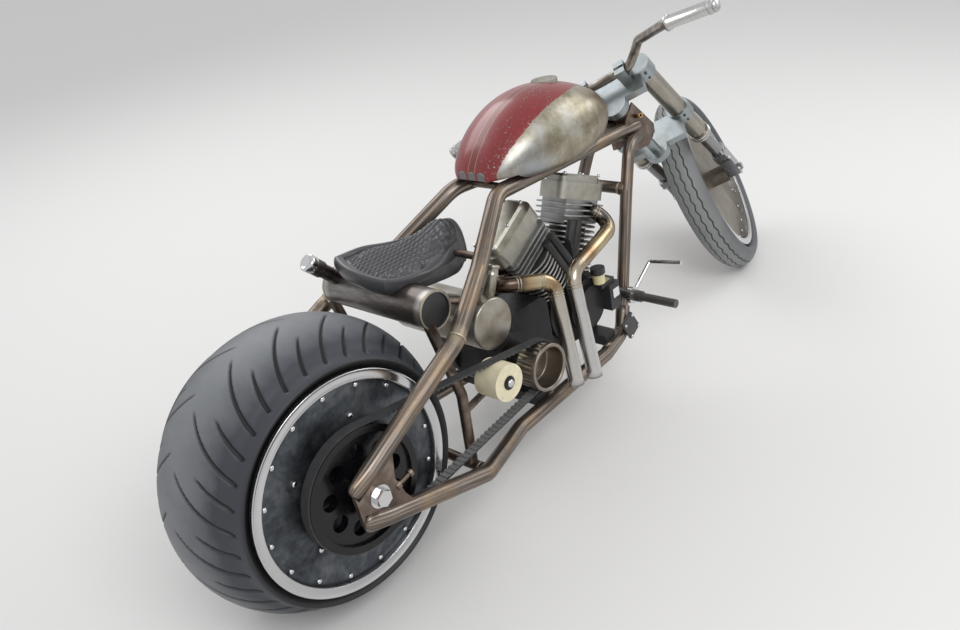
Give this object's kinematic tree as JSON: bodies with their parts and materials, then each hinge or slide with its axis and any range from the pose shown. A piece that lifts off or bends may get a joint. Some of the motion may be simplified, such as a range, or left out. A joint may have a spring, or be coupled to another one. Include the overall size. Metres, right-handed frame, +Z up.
{
  "type": "chopper motorcycle",
  "caption": "Custom chopper motorcycle with a very wide rear tyre, rigid raw steel frame, raked fork, V-twin engine, outboard belt drive and open exhausts, leaning on its side stand.",
  "frame": {"origin": "on the ground, under the middle of the whole's box", "axes": "+X forward along the bike, +Y to its left, +Z up; the bike leans to its left on its side stand"},
  "size_m": [2.422, 0.6364, 1.0608],
  "materials": {
    "tyre_rubber": "satin",
    "belt_rubber": "matte",
    "frame_steel": "aged raw steel",
    "tank_paint": "worn gloss",
    "polished": "polished",
    "fork_alloy": "brushed",
    "peg_steel": "dark knurled",
    "cover_steel": "dark mottled",
    "black_metal": "satin black",
    "pipe_steel": "brushed with heat tint",
    "roller_plastic": "cream",
    "seat_leather": "embossed"
  },
  "bodies": {
    "frame": {"rear_axle": "polished", "drive_belt": "belt_rubber", "drive_drum": "pipe_steel", "belt_roller": "roller_plastic", "upper_tubes": "frame_steel", "lower_rails": "frame_steel", "downtubes": "frame_steel", "head_tube": "frame_steel", "axle_plates": "frame_steel", "crankcase": "black_metal", "timing_cover": "black_metal", "primary_cover": "black_metal", "cylinder_front": "fork_alloy", "head_front": "fork_alloy", "rocker_cover_front": "fork_alloy", "cylinder_rear": "fork_alloy", "head_rear": "fork_alloy", "rocker_cover_rear": "fork_alloy", "exhaust_rear": "pipe_steel", "exhaust_front": "pipe_steel", "foot_peg_right": "peg_steel", "brake_pedal": "polished", "foot_peg_left": "peg_steel", "shift_pedal": "polished", "brake_reservoir": "black_metal", "fuel_tank": "tank_paint", "oil_tank": "cover_steel", "round_tank": "cover_steel", "seat": "seat_leather", "cross_tubes": "frame_steel", "stand_bracket": "frame_steel"},
    "rear_wheel": {"rear_rim": "polished", "rear_covers": "cover_steel", "rear_tyre": "tyre_rubber", "rear_pulley": "black_metal", "rear_brake_disc": "cover_steel"},
    "steering": {"fork_tubes": "fork_alloy", "fork_sliders": "fork_alloy", "clamp_lower": "fork_alloy", "clamp_upper": "fork_alloy", "handlebar": "polished"},
    "front_wheel": {"front_tyre": "tyre_rubber", "front_rim": "polished", "front_covers": "fork_alloy"},
    "side_stand": {"side_stand": "frame_steel"}
  },
  "joints": [
    {"name": "rear_wheel_spin", "type": "hinge", "parent": "frame", "child": "rear_wheel", "pos_m": [-0.88401, -0.02928, 0.3262], "axis": [0, 0.994, -0.1097], "continuous": true},
    {"name": "steering_turn", "type": "hinge", "parent": "frame", "child": "steering", "pos_m": [0.42304, 0.02489, 0.65733], "axis": [-0.6858, 0.0799, 0.7234], "range_deg": [-68, 0]},
    {"name": "front_wheel_spin", "type": "hinge", "parent": "steering", "child": "front_wheel", "pos_m": [0.91769, 0.05748, 0.28496], "axis": [-0.407, 0.7819, -0.4722], "continuous": true},
    {"name": "side_stand_fold", "type": "hinge", "parent": "frame", "child": "side_stand", "pos_m": [-0.18401, 0.15823, 0.11326], "axis": [0.1839, 0.5508, 0.8141], "range_deg": [0, 105]}
  ]
}
